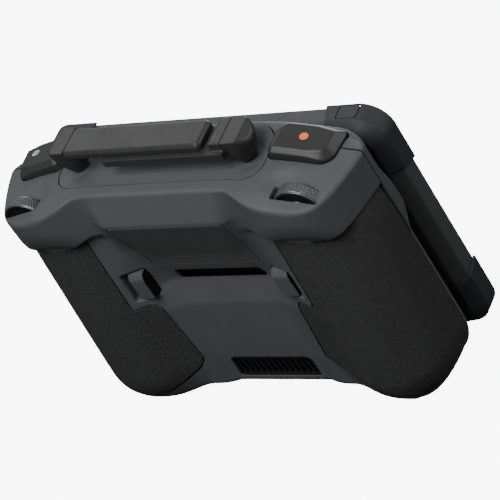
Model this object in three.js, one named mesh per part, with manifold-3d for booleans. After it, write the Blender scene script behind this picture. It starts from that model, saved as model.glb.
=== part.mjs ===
// Handheld radio transmitter with a folding display, shown folded and standing on its lower edge.
// Millimetres. +X is the operator's right, +Y is the back of the controller, +Z is its antenna end.
import * as THREE from 'three';
import { mergeVertices } from 'three/addons/utils/BufferGeometryUtils.js';
import Module from 'manifold-3d';

const wasm = await Module();
wasm.setup();

// ---------------------------------------------------------------- driving dimensions
const depthOverall = 71;
const gap = 0.3;
const wall = 2.5;
const coverThickness = 2.2;

const deckDepth = 19.5;
const partingDepth = 32;
const bodyHalfWidth = 95;
const centreBottom = 9;
const topHeight = 147.6;

const screenHalfWidth = 90;
const screenBottom = 3.5;
const screenTop = 130;
const screenSideDepth = 9.5;
const screenDepth = 15;
const bumperHalfWidth = 91.8;
const bumperTop = 133.5;
const bumperInner = 65;
const bumperSide = 32;

const foldAxis = { depth: 19.4, height: 137 };
const knuckleRadius = 3;
const foldPinRadius = 1.4;
const hingePocket = { halfWidth: 34.6, bottom: 131.4, top: 141.2, depth: 25.4 };
const tiltAxis = { depth: 14.9, height: 66.75 };
const armFront = 16.4;
const armBack = 19.1;

const antennaX = 44.6;
const antennaDepth = 39;
const antennaSeam = 42.5;
const antennaTop = 160.9;
const upperBar = [157.3, 160.9];
const lowerBar = [153.2, 156.8];

const dialX = 73;
const dialDepth = 57.3;
const dialHeight = 131.9;
const dialRadius = 12;
const dialWidth = 3.8;

const stickX = 66;
const stickHeight = 95;
const stickDepth = 34;

const backButton = { inner: 36.2, outer: 43.4, bottom: 75.3, top: 91.4, face: 57.6 };
const shoulderTilt = 0.2443;

const sides = [['left', -1], ['right', 1]];

// ---------------------------------------------------------------- materials
const paint = (hex, roughness, metalness) =>
  new THREE.MeshStandardMaterial({ color: hex, roughness, metalness });
const shellGrey = paint(0x56575a, 0.55, 0);
const deckGrey = paint(0x37383b, 0.6, 0);
const gripRubber = paint(0x2c2c2f, 0.85, 0);
const bumperRubber = paint(0x2a2b2e, 0.8, 0);
const buttonBlack = paint(0x3a3a3c, 0.45, 0);
const antennaBlack = paint(0x48484a, 0.4, 0);
const darkPlastic = paint(0x17181a, 0.6, 0);
const glassBlack = paint(0x08090b, 0.08, 0);
const steel = paint(0x8e9093, 0.35, 1);
const aluminium = paint(0xa6a8ab, 0.4, 1);
const boardGreen = paint(0x1d4a33, 0.6, 0);
const batteryBlue = paint(0x2b3f5c, 0.5, 0);

// ---------------------------------------------------------------- geometry helpers
// Y coordinate of a plane a given distance behind the front of the folded display.
const fromFront = (depth) => depth - depthOverall / 2;

function solidOf(geometry) {
  const bare = geometry.clone();
  bare.deleteAttribute('normal');
  bare.deleteAttribute('uv');
  const merged = mergeVertices(bare, 1e-4);
  return new wasm.Manifold(new wasm.Mesh({
    numProp: 3,
    vertProperties: Float32Array.from(merged.attributes.position.array),
    triVerts: Uint32Array.from(merged.index.array),
  }));
}

function geometryOf(solid) {
  const mesh = solid.getMesh();
  const geometry = new THREE.BufferGeometry();
  geometry.setAttribute('position', new THREE.BufferAttribute(mesh.vertProperties, 3));
  geometry.setIndex(new THREE.BufferAttribute(mesh.triVerts, 1));
  geometry.computeVertexNormals();
  return geometry;
}

const union = (...solids) => solids.reduce((whole, solid) => whole.add(solid));

// A block between two corners: x, depth behind the front, and height.
function block(x0, x1, d0, d1, z0, z1) {
  const geometry = new THREE.BoxGeometry(x1 - x0, d1 - d0, z1 - z0);
  geometry.translate((x0 + x1) / 2, fromFront((d0 + d1) / 2), (z0 + z1) / 2);
  return solidOf(geometry);
}

// Points of an outline whose corners [a, b, radius] are rounded.
function outline(corners, steps = 4) {
  const points = [];
  corners.forEach(([a, b, radius = 0], index) => {
    const corner = new THREE.Vector2(a, b);
    if (!radius) {
      points.push(corner);
      return;
    }
    const before = corners[(index + corners.length - 1) % corners.length];
    const after = corners[(index + 1) % corners.length];
    const inward = new THREE.Vector2(before[0] - a, before[1] - b).normalize();
    const onward = new THREE.Vector2(after[0] - a, after[1] - b).normalize();
    const half = Math.acos(THREE.MathUtils.clamp(inward.dot(onward), -1, 1)) / 2;
    const reach = radius / Math.tan(half);
    const start = corner.clone().addScaledVector(inward, reach);
    const end = corner.clone().addScaledVector(onward, reach);
    const curve = new THREE.QuadraticBezierCurve(start, corner, end);
    points.push(...curve.getPoints(steps));
  });
  return points;
}

const axesX = new THREE.Matrix4().makeBasis(
  new THREE.Vector3(0, 1, 0), new THREE.Vector3(0, 0, 1), new THREE.Vector3(1, 0, 0));
const axesY = new THREE.Matrix4().makeBasis(
  new THREE.Vector3(1, 0, 0), new THREE.Vector3(0, 0, 1), new THREE.Vector3(0, -1, 0));

function extruded(points, length, { bevel = 0, inset = 0, bevelSteps = 2 } = {}) {
  return new THREE.ExtrudeGeometry(new THREE.Shape(points), {
    depth: length - 2 * bevel,
    bevelEnabled: bevel > 0 || inset > 0,
    bevelThickness: bevel,
    bevelSize: bevel,
    bevelOffset: -bevel - inset,
    bevelSegments: bevelSteps,
    steps: 1,
  }).translate(0, 0, bevel);
}

// Outline in (depth, height), extruded along X.
function prismX(corners, x0, x1, steps) {
  const points = outline(corners, steps).map((p) => new THREE.Vector2(fromFront(p.x), p.y));
  const geometry = extruded(points, x1 - x0);
  return solidOf(geometry.applyMatrix4(axesX).translate(x0, 0, 0));
}

// Outline in (x, height), extruded along the depth.
function prismY(corners, d0, d1, options = {}) {
  const geometry = extruded(outline(corners, options.steps), d1 - d0, options);
  return solidOf(geometry.applyMatrix4(axesY).translate(0, fromFront(d1), 0));
}

// Outline in (x, depth), extruded upwards.
function prismZ(corners, z0, z1, options = {}) {
  const points = outline(corners, options.steps).map((p) => new THREE.Vector2(p.x, fromFront(p.y)));
  return solidOf(extruded(points, z1 - z0, options).translate(0, 0, z0));
}

function rod(axis, radius, from, to, centre, segments = 20) {
  const geometry = new THREE.CylinderGeometry(radius, radius, to - from, segments);
  const middle = (from + to) / 2;
  if (axis === 'x') {
    geometry.rotateZ(-Math.PI / 2).translate(middle, fromFront(centre[0]), centre[1]);
  }
  if (axis === 'y') {
    geometry.translate(centre[0], fromFront(middle), centre[1]);
  }
  if (axis === 'z') {
    geometry.rotateX(Math.PI / 2).translate(centre[0], fromFront(centre[1]), middle);
  }
  return solidOf(geometry);
}

const mirrored = (corners, side) => {
  const flipped = corners.map(([a, b, radius]) => [side * a, b, radius]);
  return side > 0 ? flipped : flipped.reverse();
};

const group = new THREE.Group();

function addPart(name, solid, material, parent = group) {
  const mesh = new THREE.Mesh(geometryOf(solid), material);
  mesh.name = name;
  parent.add(mesh);
  return mesh;
}

// ---------------------------------------------------------------- casing volumes
// Everything above the sloping top face of one shoulder.
function shoulderRoof(side, inset) {
  const cut = (normal, x, depth, height) => {
    const up = new THREE.Vector3(...normal).normalize();
    const turn = new THREE.Quaternion().setFromUnitVectors(new THREE.Vector3(0, 0, 1), up);
    const geometry = new THREE.BoxGeometry(220, 220, 60);
    geometry.translate(0, 0, 30 - inset).applyQuaternion(turn);
    return solidOf(geometry.translate(x, fromFront(depth), height));
  };
  const backFall = cut([side * 0.235, 0.218, 0.947], side * 64, 54.9, 143);
  const outerFall = cut([side * 0.242, 0, 0.97], side * 58, 42, 147.6);
  return union(backFall, outerFall);
}

// The finger-rest shelf of one shoulder, seen from above as a rounded lobe.
function shoulder(side, inset, front) {
  const lobe = [
    [30, front], [bodyHalfWidth - 1 - inset, front], [bodyHalfWidth - 1 - inset, 33], [92.6 - inset, 46, 6],
    [88 - inset, 63 - inset, 12], [70, 71.5 - inset, 12], [52, 67 - inset, 10], [40, 57 - inset],
    [30, 57 - inset],
  ];
  const under = [
    [front, 108 + inset - (56 - front) / 3], [56, 108 + inset], [68.8 - inset, 126 + inset, 4],
    [68.8 - inset, 160], [front, 160],
  ];
  const raw = prismZ(mirrored(lobe, side), 90, topHeight - inset).intersect(prismX(under, -100, 100));
  return raw.subtract(shoulderRoof(side, inset));
}

// One hand grip, fuller towards its lower end and rounded off at the bottom.
function grip(side, inset, front) {
  const section = [];
  const steps = 14;
  for (let i = 1; i < steps; i += 1) {
    const angle = (Math.PI * i) / steps;
    const across = Math.sign(Math.cos(angle)) * Math.abs(Math.cos(angle)) ** 0.85;
    const out = Math.sin(angle) ** 0.85;
    const reach = across > 0 ? 25 - inset : 31 - inset;
    section.push([70 + reach * across, partingDepth + (39 - inset) * out]);
  }
  section.push([39 + inset, front], [bodyHalfWidth - inset, front]);
  const flank = [
    [front, inset], [depthOverall - inset, inset, 22], [depthOverall - inset, 42, 20],
    [62 - inset, 116], [front, 116],
  ];
  const face = [
    [38 + inset, inset, 9], [bodyHalfWidth - inset, inset, 20], [bodyHalfWidth - inset, 116],
    [38 + inset, 116],
  ];
  return prismZ(mirrored(section, side), -1, 117)
    .intersect(prismX(flank, -100, 100, 5))
    .intersect(prismY(mirrored(face, side), front - 1, 80));
}

// Centre of the back: raised hump above, cooled panel below.
function centre(inset, front) {
  const roof = inset > 0 ? 6 : 0;
  const base = [
    [front, centreBottom + inset], [57.2 - inset, centreBottom + inset, 5],
    [57.4 - inset, 100], [57.4 - inset, topHeight - roof], [front, topHeight - roof],
  ];
  const channel = [
    [54.6 - inset, -5], [54.4 - inset, 28], [52.2 - inset, 65], [48.4 - inset, 79.3],
    [49.4 - inset, 91], [80, 110], [80, -5],
  ];
  const hump = [
    [front, 88], [49.6 - inset, 89], [62.9 - inset, 128.4], [57.6 - inset, 145.9 - roof],
    [50, topHeight - roof], [front, topHeight - roof],
  ];
  return prismX(base, -52, 52)
    .subtract(prismX(channel, -27 - inset, 27 + inset))
    .add(prismX(hump, -39 + inset, 39 - inset));
}

const wholeBack = (inset, gripInset, front) => union(
  centre(inset, front),
  ...sides.flatMap(([, side]) => [shoulder(side, inset, front), grip(side, gripInset, front)]));

// Front half of the casing: rounded towards the deck on all sides.
function frontVolume(inset, back) {
  const halfWidth = bodyHalfWidth - inset;
  const half = [
    [36, centreBottom + inset, 6], [46 + inset, inset, 8], [halfWidth, inset, 20],
    [halfWidth, 133 - inset, 8], [88 - inset, 139.4 - inset, 4], [57 - inset, topHeight - inset, 6],
  ];
  const face = [...half, ...mirrored(half, -1)];
  const plan = [
    [-halfWidth, 60], [-halfWidth, 29, 4], [-halfWidth + 9, deckDepth + inset, 6],
    [halfWidth - 9, deckDepth + inset, 6], [halfWidth, 29, 4], [halfWidth, 60],
  ];
  const profile = [
    [60, -2], [30, -2], [deckDepth + inset, 12, 8], [deckDepth + inset, 160], [60, 160],
  ];
  return prismY(face, deckDepth + inset, back)
    .intersect(prismZ(plan, -5, 165))
    .intersect(prismX(profile.reverse(), -100, 100));
}

// ---------------------------------------------------------------- recesses shared by casing and parts
const trayOutline = (grow) => [
  [-53 - grow, 23 - grow, 5], [53 + grow, 23 - grow, 5], [53 + grow, 52.4 + grow, 9],
  [-53 - grow, 52.4 + grow, 9],
];
const trayBottom = 143.6;
const trayTop = 147.3;

// Shoulder buttons lie in a frame tilted outwards with the shoulder.
const shoulderButtonCorners = (grow) => [
  [-12.4 - grow, -6.7 - grow, 2.5], [11 + grow, -7 - grow, 4], [19 + grow, 9.5 + grow, 6],
  [-12.9 - grow, 9.5 + grow, 2.5],
];

function shoulderButton(side, grow, bottom, top, bevel) {
  const corners = mirrored(shoulderButtonCorners(grow), side)
    .map(([x, y, radius]) => [x, y + depthOverall / 2, radius]);
  const options = { bevel, bevelSteps: 1 };
  return prismZ(corners, bottom, top, options);
}

function shoulderPlace(side) {
  return new THREE.Matrix4()
    .makeTranslation(side * 70.5, fromFront(32.2), 144.5)
    .multiply(new THREE.Matrix4().makeRotationY(side * shoulderTilt));
}

const shoulderButtonCut = (side) => {
  const geometry = geometryOf(shoulderButton(side, 0.4, -7, 12, 0));
  return solidOf(geometry.applyMatrix4(shoulderPlace(side)));
};

const intakeSlot = prismY([[-24, 79.2, 1.5], [24, 79.2, 1.5], [22, 85.4, 1], [-22, 85.4, 1]], 40, 60);
const exhaustOpening = (grow, d0, d1) => prismY([
  [-22.2 - grow, 15.2 - grow, 2], [22.2 + grow, 15.2 - grow, 2], [22.2 + grow, 28.3 + grow, 4],
  [-22.2 - grow, 28.3 + grow, 1],
], d0, d1);
const doorRegion = (grow, d0, d1) => prismY([
  [-31 - grow, 93 - grow, 3], [31 + grow, 93 - grow, 3], [32 + grow, 128.4 + grow, 4],
  [-32 - grow, 128.4 + grow, 4],
], d0, d1);
const backButtonBlock = (side, growX, growZ, d0, d1, options) => prismY(mirrored([
  [backButton.inner - growX, backButton.bottom - growZ], [backButton.outer + growX, backButton.bottom - growZ],
  [backButton.outer + growX, backButton.top + growZ], [backButton.inner - growX, backButton.top + growZ],
], side), d0, d1, options);

// Lower seam between a soft grip cover and the hard end of the grip.
const gripSeam = (drop) => [
  [110, 16 - drop], [62, 12 - drop], [42 - drop, 24 - drop, 8], [38 - drop, 42],
];

// ---------------------------------------------------------------- casing parts
function gripEnd(side) {
  const region = [[30, -2], [110, -2], ...gripSeam(gap), [30, 42]];
  return grip(side, 0, partingDepth + gap / 2).intersect(prismY(mirrored(region, side), 20, 90));
}

function rearShell() {
  let shell = wholeBack(0, coverThickness + gap, partingDepth + gap / 2);
  shell = union(shell, ...sides.map(([, side]) => gripEnd(side)));
  shell = shell.subtract(wholeBack(wall, coverThickness + gap + wall, partingDepth - 4));
  shell = shell.subtract(prismZ(trayOutline(gap), trayBottom - gap, 160));
  shell = shell.subtract(intakeSlot).subtract(exhaustOpening(gap, 40, 60));
  for (const [, side] of sides) {
    shell = shell.add(backButtonBlock(side, 5.4, 4, 51.5, 56));
    shell = shell.subtract(backButtonBlock(side, 3.6, 2, 54, 62));
    shell = shell.subtract(backButtonBlock(side, gap, gap, 30, 62));
    shell = shell.subtract(shoulderButtonCut(side));
    shell = shell.subtract(rod('y', dialRadius + 0.7, dialDepth - dialWidth / 2 - 0.5,
      dialDepth + dialWidth / 2 + 0.6, [side * dialX, dialHeight], 28));
    shell = shell.subtract(rod('z', 2.7, 130, 150, [side * antennaX, antennaDepth]));
  }
  return shell.subtract(doorRegion(gap, 36, 70));
}

const deckButtons = [
  ['power_button', -43, 46, 5],
  ['return_home_button', 43, 46, 5],
  ['five_way_button', -64, 50, 7],
];
const modeSlot = { height: 44, halfLength: 9.5, halfWidth: 3 };

function frontShell() {
  const { halfWidth: pocketHalf, bottom, top, depth } = hingePocket;
  let shell = frontVolume(0, partingDepth - gap / 2);
  shell = shell.subtract(frontVolume(wall, partingDepth + 4));
  shell = shell.add(block(-pocketHalf - 2, pocketHalf + 2, deckDepth + 1, depth + 2, bottom - 2, top + 2));
  shell = shell.subtract(block(-pocketHalf, pocketHalf, 10, depth, bottom, top));
  shell = shell.subtract(prismZ(trayOutline(gap), trayBottom - gap, 160));
  for (const [, side] of sides) {
    shell = shell.subtract(shoulderButtonCut(side));
    shell = shell.subtract(rod('y', 15.5, 10, 30, [side * stickX, stickHeight], 28));
  }
  for (const [, x, z, radius] of deckButtons) {
    shell = shell.subtract(rod('y', radius + gap, 10, 30, [x, z]));
  }
  const { height, halfLength, halfWidth } = modeSlot;
  shell = shell.subtract(block(-halfLength, halfLength, 10, 30, height - halfWidth, height + halfWidth));
  return shell;
}

function gripCover(side) {
  const skin = grip(side, 0, partingDepth + gap / 2)
    .subtract(grip(side, coverThickness, partingDepth - 4));
  const region = [[38, 68], [46, 70], [50.3, 71], [50.3, 140], [110, 140], ...gripSeam(0)];
  const trimmed = skin.intersect(prismY(mirrored(region, side), 20, 90));
  const clearance = union(
    shoulder(side, -gap, partingDepth - 4), centre(-gap, partingDepth - 4));
  return trimmed.subtract(clearance);
}

function antennaTray() {
  let tray = prismZ(trayOutline(0), trayBottom, trayTop);
  for (const [, side] of sides) {
    tray = tray.subtract(rod('z', 7, 145.8, 150, [side * antennaX, antennaDepth], 28));
    tray = tray.subtract(rod('z', 2.7, 140, 150, [side * antennaX, antennaDepth]));
  }
  return tray;
}

const serviceDoor = () => centre(0, 30).subtract(centre(1.8, 28)).intersect(doorRegion(0, 40, 70));

function exhaustGrille() {
  let grille = exhaustOpening(0, 52.2, 54);
  for (let i = 0; i < 13; i += 1) {
    const x = -20.4 + i * 3.25;
    const slot = [[x, 17], [x + 1.9, 17], [x + 3.4, 26.6], [x + 1.5, 26.6]];
    grille = grille.subtract(prismY(slot.map(([a, b]) => [a - 0.6, b]), 50, 56));
  }
  return grille;
}

function intakeMesh() {
  let mesh = block(-25, 25, 43.6, 44.6, 77.6, 87);
  for (let i = 0; i < 11; i += 1) {
    mesh = mesh.subtract(block(-23 + i * 4.2, -20 + i * 4.2, 40, 50, 79, 85.6));
  }
  return mesh;
}

// ---------------------------------------------------------------- controls
function lathedY(profile, x, depth, height, segments = 24) {
  const points = profile.map(([radius, along]) => new THREE.Vector2(radius, along));
  const geometry = new THREE.LatheGeometry(points, segments);
  return solidOf(geometry.translate(x, fromFront(depth), height));
}

function dial(side) {
  const half = dialWidth / 2;
  const profile = [
    [1.9, -half], [dialRadius - 0.8, -half], [dialRadius, -half + 0.6], [dialRadius, half - 0.6],
    [dialRadius - 0.8, half], [1.9, half], [1.9, -half],
  ];
  return lathedY(profile, side * dialX, dialDepth, dialHeight, 28);
}

const deckCap = (x, z, radius) => union(
  rod('y', radius, deckDepth - 1.3, deckDepth + wall + 1, [x, z]),
  rod('y', radius + 1.3, deckDepth + wall + 0.6, deckDepth + wall + 2, [x, z]));

function fiveWayButton([, x, z, radius]) {
  const nub = rod('y', 3, deckDepth - 2.6, deckDepth, [x, z], 16);
  return deckCap(x, z, radius).add(nub);
}

function modeSlider() {
  const { height, halfLength, halfWidth } = modeSlot;
  const knob = block(-3.2, 3.2, deckDepth - 1.4, deckDepth + wall + 1, height - halfWidth + gap,
    height + halfWidth - gap);
  const plate = block(-halfLength - 4, halfLength + 4, deckDepth + wall + 0.6, deckDepth + wall + 1.8,
    height - halfWidth - 1.5, height + halfWidth + 1.5);
  return knob.add(plate);
}

function gimbalHousing(side) {
  const x = side * stickX;
  return block(x - 15.5, x + 15.5, 22.4, 45.5, stickHeight - 15.5, stickHeight + 15.5)
    .subtract(block(x - 13.5, x + 13.5, 20, 43.5, stickHeight - 13.5, stickHeight + 13.5));
}

function gimbalRing(side) {
  const x = side * stickX;
  const z = stickHeight;
  return block(x - 13, x + 13, stickDepth - 2.5, stickDepth + 2.5, z - 13, z + 13)
    .subtract(block(x - 11, x + 11, 20, 50, z - 11, z + 11));
}

function stickDome(side) {
  const geometry = new THREE.SphereGeometry(10.4, 20, 12);
  geometry.translate(side * stickX, fromFront(stickDepth), stickHeight);
  return solidOf(geometry).intersect(block(-90, 90, 10, stickDepth + 3, 80, 110));
}

function stick(side) {
  const tip = stickDepth - 17.1;
  const profile = [
    [0, 6.2], [3, 6.2], [2.6, 3], [3.6, 2.2], [4.3, 0.6], [3.2, 0], [0, 0.6],
  ].reverse();
  return lathedY(profile, side * stickX, tip, stickHeight, 20);
}

// ---------------------------------------------------------------- antennas
const antennaBore = (x) => rod('z', 2.7, 140, 151.3, [x, antennaDepth]);

// Round turret under the bar; its outer half carries on up as a crown that slopes to the top face.
function antennaHub(side, turretTop) {
  const radius = 9.3;
  const widest = Math.min(155, turretTop - 0.6);
  const profile = [
    [0, 146.4], [6.2, 146.4], [6.2, 147.6], [radius, widest], [radius + widest - turretTop, turretTop],
    [0, turretTop],
  ].map(([r, height]) => new THREE.Vector2(r, height));
  const turret = new THREE.LatheGeometry(profile, 28).rotateX(Math.PI / 2)
    .translate(side * antennaX, fromFront(antennaDepth), 0);
  const outer = antennaX + radius;
  const crown = [
    [antennaSeam, widest - 0.5], [outer - 0.4, widest - 0.5], [outer, 155.2], [48.2, antennaTop],
    [antennaSeam, antennaTop],
  ];
  const plan = [[antennaSeam, 31], [outer, 31, 8], [outer, 47, 8], [antennaSeam, 47]];
  return prismY(mirrored(crown, side), 30, 48)
    .intersect(prismZ(mirrored(plan, side), 140, 165))
    .add(solidOf(turret))
    .subtract(antennaBore(side * antennaX));
}

const upperAntennaBar = () => prismZ([
  [-31, 31, 2.5], [antennaSeam - gap, 31], [antennaSeam - gap, 47], [-31, 47, 2.5],
], ...upperBar, { bevel: 0.8, bevelSteps: 1 });

function lowerAntennaBar() {
  const root = gap - antennaSeam;
  const bar = prismZ([[root, 32], [23, 32, 2], [23, 49.2, 3], [root, 49.2]], ...lowerBar);
  const step = prismZ([[root, 31], [-35.5, 31], [-35.5, 47, 1], [root, 47]], lowerBar[0], antennaTop);
  return bar.add(step);
}

// ---------------------------------------------------------------- folding display
const screenFace = (grow, radius) => [
  [-screenHalfWidth - grow, screenBottom - grow, radius], [screenHalfWidth + grow, screenBottom - grow, radius],
  [screenHalfWidth + grow, screenTop + grow, radius], [-screenHalfWidth - grow, screenTop + grow, radius],
];

// A slab with a bevelled back edge, cut flat at its front.
const bevelledSlab = (corners, front, back, bevel) =>
  prismY(corners, front - 20, back, { bevel, bevelSteps: 1 }).intersect(block(-100, 100, front, 30, -5, 140));

function screenHousing() {
  return bevelledSlab(screenFace(0, 9), 1, screenDepth, screenDepth - screenSideDepth)
    .subtract(prismY(screenFace(-2.5, 7), -5, 5))
    .subtract(prismY(screenFace(-6, 4), -5, 12.3).subtract(rod('y', 25.5, 7.6, 20, [0, tiltAxis.height], 32)))
    .subtract(rod('y', 23, 10, 20, [0, tiltAxis.height], 32));
}

function cornerBumper(sideX, top) {
  const outer = bevelledSlab([
    [-bumperHalfWidth, 0, 13], [bumperHalfWidth, 0, 13], [bumperHalfWidth, bumperTop, 13],
    [-bumperHalfWidth, bumperTop, 13],
  ], 0, screenDepth + 0.9, 6);
  const heights = top ? [bumperTop - bumperSide, bumperTop + 1] : [-1, bumperSide];
  const xs = [sideX * bumperInner, sideX * (bumperHalfWidth + 1)].sort((a, b) => a - b);
  return outer.intersect(block(...xs, -1, 20, ...heights))
    .subtract(bevelledSlab(screenFace(gap, 9), 0.7, screenDepth + gap, screenDepth - screenSideDepth))
    .subtract(prismY(screenFace(-2.4, 7), -5, 5));
}

// The flap is shorter than its pocket at the front, so that its lower edge swings clear.
const portFlap = (grow, front, top) =>
  block(-79.5 - grow, -70.7 + grow, front, 6.2 + grow, 131.6 - grow, top);

// Bracket in the casing's hinge pocket, with one knuckle at each end of the fold arm.
function hingeBracket() {
  const { depth, height } = foldAxis;
  const { halfWidth, bottom, top, depth: floor } = hingePocket;
  const back = floor - gap;
  const base = block(gap - halfWidth, halfWidth - gap, back - 1.6, back, bottom + gap, top - gap);
  const knuckle = (x0, x1) => rod('x', knuckleRadius, x0, x1, [depth, height], 24)
    .add(block(x0, x1, depth, back - 0.8, height - knuckleRadius, height + knuckleRadius));
  return union(base, knuckle(-34, -24.4), knuckle(24.4, 34))
    .subtract(rod('x', foldPinRadius + gap, -40, 40, [depth, height], 16));
}

function foldArm() {
  const { depth, height } = tiltAxis;
  const plate = prismY([
    [-19, height - 1], [-12.3, height - 1], [-12.3, height + 4.4], [12.3, height + 4.4],
    [12.3, height - 1], [19, height - 1], [24, foldAxis.height], [-24, foldAxis.height],
  ], armFront, armBack);
  return union(plate,
    rod('x', knuckleRadius, -24, 24, [foldAxis.depth, foldAxis.height], 24),
    rod('x', 3, -19, -12.3, [depth, height], 20),
    rod('x', 3, 12.3, 19, [depth, height], 20))
    .subtract(rod('x', foldPinRadius + gap, -40, 40, [foldAxis.depth, foldAxis.height], 16))
    .subtract(rod('x', 1.5, -40, 40, [depth, height], 16));
}

function swivelPlate() {
  const { depth, height } = tiltAxis;
  return union(rod('y', 22.4, 10.3, 11.6, [0, height], 32),
    rod('x', 3, -12, 12, [depth, height], 20),
    block(-12, 12, 11.4, depth, height - 2.5, height + 2.5))
    .subtract(rod('x', 1.5, -40, 40, [depth, height], 16));
}

// ---------------------------------------------------------------- inside the casing
function heatSink() {
  let sink = block(-28, 28, 31.3, 33.2, 63, 92);
  for (let i = 0; i < 9; i += 1) {
    sink = sink.add(block(-27 + i * 6.6, -25.8 + i * 6.6, 33, 42.6, 63, 92));
  }
  return sink;
}

const fanHeight = 42;
const fanHousing = () => block(-18, 18, 31.5, 44.5, fanHeight - 18, fanHeight + 18)
  .subtract(rod('y', 15.6, 33.4, 50, [0, fanHeight], 28));

function fanRotor() {
  let rotor = rod('y', 6, 34, 43.6, [0, fanHeight], 16);
  for (let i = 0; i < 7; i += 1) {
    const blade = new THREE.BoxGeometry(9.4, 8.4, 1.1).translate(9.6, 0, 0)
      .rotateY((i * 2 * Math.PI) / 7).translate(0, fromFront(38.8), fanHeight);
    rotor = rotor.add(solidOf(blade));
  }
  return rotor;
}

const usbSocket = () => block(-4.5, 4.5, 24, 27.2, 9.3, 16.5).subtract(block(-3.9, 3.9, 24.6, 26.6, 5, 15));
const usbOpening = block(-4.9, 4.9, 23.6, 27.6, 5, 14);

// ---------------------------------------------------------------- assembly
addPart('rear_shell', rearShell(), shellGrey);
addPart('front_shell', frontShell().subtract(usbOpening), deckGrey);
addPart('antenna_tray', antennaTray(), shellGrey);
addPart('service_door', serviceDoor(), shellGrey);
addPart('exhaust_grille', exhaustGrille(), darkPlastic);
addPart('intake_mesh', intakeMesh(), darkPlastic);
addPart('hinge_bracket', hingeBracket(), aluminium);
addPart('fold_hinge_pin', rod('x', foldPinRadius, -33.6, 33.6, [foldAxis.depth, foldAxis.height], 16), steel);
addPart('main_board', block(-44, 44, 28.6, 30.2, 18, 132), boardGreen);
addPart('battery_pack', block(-35.4, 35.4, 34, 49, 97, 138), batteryBlue);
addPart('heat_sink', heatSink(), aluminium);
addPart('fan_housing', fanHousing(), darkPlastic);
addPart('fan_rotor', fanRotor(), darkPlastic);
addPart('usb_socket', usbSocket(), steel);

for (const [name, side] of sides) {
  addPart(`grip_cover_${name}`, gripCover(side), gripRubber);
  addPart(`gimbal_housing_${name}`, gimbalHousing(side), darkPlastic);
  addPart(`gimbal_ring_${name}`, gimbalRing(side), aluminium);
  addPart(`stick_dome_${name}`, stickDome(side), darkPlastic);
  addPart(`stick_${name}`, stick(side), aluminium);
  addPart(`dial_${name}`, dial(side), steel);
  addPart(`dial_axle_${name}`, rod('y', 1.5, 50, 65.2, [side * dialX, dialHeight], 14), steel);
  addPart(`antenna_pivot_${name}`, rod('z', 2.4, 138, 151, [side * antennaX, antennaDepth], 16), steel);
  const key = backButtonBlock(side, 0, 0, 49, backButton.face, { bevel: 0.9, bevelSteps: 1 });
  addPart(`back_button_${name}`, key, shellGrey);

  const shoulderFrame = new THREE.Group();
  shoulderFrame.applyMatrix4(shoulderPlace(side));
  group.add(shoulderFrame);
  const label = side < 0 ? 'record_button' : 'photo_button';
  addPart(label, shoulderButton(side, 0, -4.4, 2.6, 1.3), buttonBlack, shoulderFrame);
}

addPart('antenna_hub_right', antennaHub(1, upperBar[0] - gap), antennaBlack);
addPart('antenna_bar_right', upperAntennaBar(), antennaBlack);
addPart('antenna_hub_left', antennaHub(-1, lowerBar[0] - gap), antennaBlack);
addPart('antenna_bar_left', lowerAntennaBar(), antennaBlack);

for (const [name, x, z, radius] of deckButtons) {
  const isFiveWay = name === 'five_way_button';
  addPart(name, isFiveWay ? fiveWayButton([name, x, z, radius]) : deckCap(x, z, radius), buttonBlack);
}
addPart('mode_slider', modeSlider(), buttonBlack);

addPart('fold_arm', foldArm(), aluminium);
addPart('tilt_hinge_pin', rod('x', 1.2, -18.7, 18.7, [tiltAxis.depth, tiltAxis.height], 14), steel);
addPart('swivel_plate', swivelPlate(), aluminium);
addPart('screen_housing', screenHousing(), deckGrey);
addPart('screen_glass', prismY(screenFace(-2.8, 6.7), 0.7, 1.7), glassBlack);
addPart('display_panel', block(-78, 78, 2.1, 4.6, 14, 119), glassBlack);
addPart('screen_board', block(-60, 60, 5.4, 6.6, 30, 104), boardGreen);
addPart('bumper_top_left', cornerBumper(-1, true).subtract(portFlap(gap, 0.7, 140)), bumperRubber);
addPart('bumper_top_right', cornerBumper(1, true), bumperRubber);
addPart('bumper_bottom_left', cornerBumper(-1, false), bumperRubber);
addPart('bumper_bottom_right', cornerBumper(1, false), bumperRubber);
addPart('port_cover', portFlap(0, 1.3, bumperTop), bumperRubber);

export default group;
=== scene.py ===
import math

import bpy
import numpy as np
from mathutils import Matrix, Vector


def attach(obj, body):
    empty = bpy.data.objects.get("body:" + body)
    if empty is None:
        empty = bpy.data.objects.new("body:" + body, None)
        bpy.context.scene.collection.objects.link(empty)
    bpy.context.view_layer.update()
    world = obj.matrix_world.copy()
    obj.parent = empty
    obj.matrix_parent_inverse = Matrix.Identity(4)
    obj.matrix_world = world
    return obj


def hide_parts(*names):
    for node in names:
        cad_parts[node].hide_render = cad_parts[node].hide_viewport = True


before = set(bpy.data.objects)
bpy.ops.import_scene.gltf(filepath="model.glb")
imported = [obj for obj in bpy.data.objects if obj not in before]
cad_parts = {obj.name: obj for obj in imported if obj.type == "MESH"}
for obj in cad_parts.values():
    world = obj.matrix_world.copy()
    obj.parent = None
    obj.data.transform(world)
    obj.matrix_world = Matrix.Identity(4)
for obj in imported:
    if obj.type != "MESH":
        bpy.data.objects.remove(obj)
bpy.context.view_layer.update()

# Shapes are written in millimetres as fields over (x, depth, height), negative inside.
# Depth is counted from the front of the folded display; DEPTH_ORIGIN puts it in the frame's Y.
MM = 0.001
DEPTH_ORIGIN = 35.5
SHARP_ANGLE = math.radians(38)
GAP = 0.3                 # clearance around a fitted piece
WALL = 2.5                # thickness of the casing
COVER = 2.2               # thickness of a grip cover
PARTING = 32.0            # depth of the joint between the two casing halves
PARTING_GAP = 0.38        # half the open width of that joint
ROOF = 147.6              # height of the level part of the roof
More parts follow.
